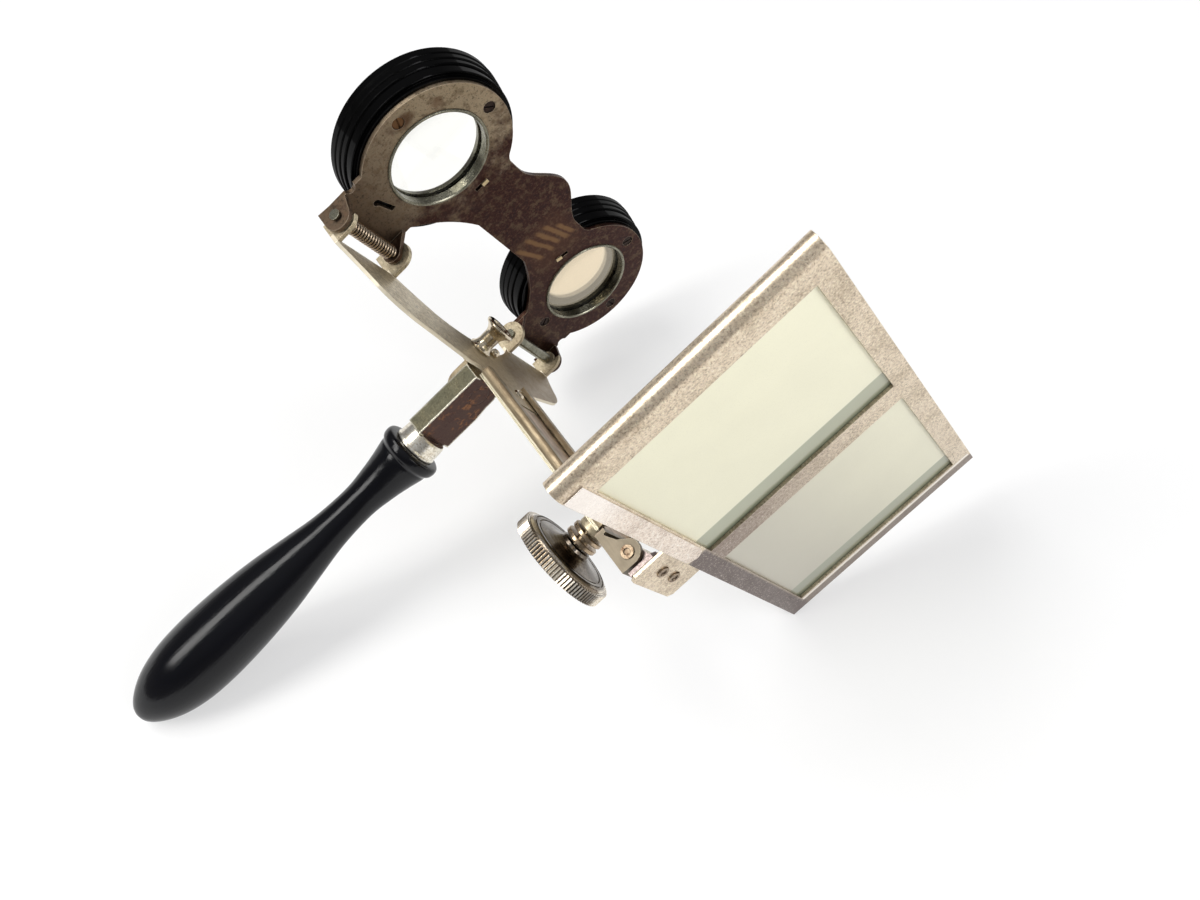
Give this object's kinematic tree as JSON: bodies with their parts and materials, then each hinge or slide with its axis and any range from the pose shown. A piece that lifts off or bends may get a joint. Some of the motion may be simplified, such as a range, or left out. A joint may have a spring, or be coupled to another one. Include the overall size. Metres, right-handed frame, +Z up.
{
  "type": "folding stereoscope",
  "caption": "Folding hand stereoscope: lens board with two eyecups on sprung hinges, a rack-focused frame for a glass slide, and a turned handle, laid on its side.",
  "frame": {"origin": "centre of the bounding box's bottom face, on the table that the folded-out viewer lies on", "axes": "+Y along the line of sight from the lenses to the slide, +X towards the end of the handle, +Z up; the viewer's own left-right axis is tilted by the lie of the instrument"},
  "size_m": [0.1814, 0.096, 0.1253],
  "materials": {
    "tarnished_steel": "thin sheet, darkened and stained",
    "spring_steel": "drawn wire, slightly tarnished",
    "dull_nickel": "worn nickel plate, satin",
    "bright_nickel": "bright nickel plate",
    "frame_nickel": "speckled, slightly pink nickel plate",
    "knob_nickel": "turned, knurled rim, darkened centre",
    "black_cup": "turned, polished black",
    "black_wood": "turned wood, glossy black lacquer",
    "clear_glass": "polished",
    "frosted_glass": "finely ground on one face"
  },
  "bodies": {
    "base": {"base_plate": "dull_nickel", "rail": "dull_nickel", "rail_rivets": "bright_nickel", "stop_rivet": "bright_nickel", "lens_hinge_pin_right": "bright_nickel", "lens_hinge_pin_left": "bright_nickel", "hinge_spring": "spring_steel", "hinge_sleeve": "bright_nickel", "shaft_bush": "dull_nickel", "pivot_lug": "dull_nickel", "pivot_pin": "bright_nickel", "pivot_washer": "bright_nickel"},
    "lens_board": {"lens_board": "tarnished_steel", "board_screws": "tarnished_steel", "eyecup_right": "black_cup", "eyecup_left": "black_cup", "lens_right": "clear_glass", "lens_left": "clear_glass", "lens_bezel_right": "bright_nickel", "lens_bezel_left": "bright_nickel", "lens_ring_right": "bright_nickel", "lens_ring_left": "bright_nickel"},
    "carriage": {"carriage": "dull_nickel", "slide_hinge_pin": "bright_nickel", "slide_hinge_sleeve": "bright_nickel"},
    "slide_frame": {"slide_frame": "frame_nickel", "frame_lap": "bright_nickel", "ground_glass": "frosted_glass", "slide_bracket": "dull_nickel", "slide_rivets": "bright_nickel"},
    "knob": {"pinion": "bright_nickel", "pinion_screw": "bright_nickel", "washer_upper": "bright_nickel", "washer_lower": "bright_nickel", "focus_knob": "knob_nickel", "knob_screw": "bright_nickel"},
    "handle": {"handle_shank": "bright_nickel", "handle_ferrule": "bright_nickel", "handle_grip": "black_wood"},
    "catch": {"catch_post": "bright_nickel", "catch_nut": "bright_nickel"}
  },
  "joints": [
    {"name": "lens_board_fold", "type": "hinge", "parent": "base", "child": "lens_board", "pos_m": [-0.01557, -0.03644, 0.0501], "axis": [-0.406, 0, -0.9139], "range_deg": [0, 65], "stiffness_Nm_per_rad": 0.016, "springref_deg": -34.38},
    {"name": "focus_slide", "type": "slide", "parent": "base", "child": "carriage", "axis": [0, 1, 0], "range_m": [0, 0.012]},
    {"name": "slide_frame_fold", "type": "hinge", "parent": "carriage", "child": "slide_frame", "pos_m": [-0.01365, 0.03886, 0.04925], "axis": [0.406, 0, 0.9139], "range_deg": [0, 88]},
    {"name": "knob_turn", "type": "hinge", "parent": "base", "child": "knob", "pos_m": [-0.00679, 0.02677, 0.0462], "axis": [-0.9139, 0, 0.406], "range_deg": [0, 275.1]},
    {"name": "handle_fold", "type": "hinge", "parent": "base", "child": "handle", "pos_m": [-0.00707, -0.01644, 0.04632], "axis": [0, 1, 0], "range_deg": [0, 80]},
    {"name": "catch_slide", "type": "slide", "parent": "base", "child": "catch", "axis": [-0.9139, 0, 0.406], "range_m": [0, 0.0015], "stiffness_N_per_m": 200, "springref_m": -0.002}
  ],
  "couplings": [
    {"joint": "knob_turn", "follows": "focus_slide", "rad_per_m": 400}
  ]
}
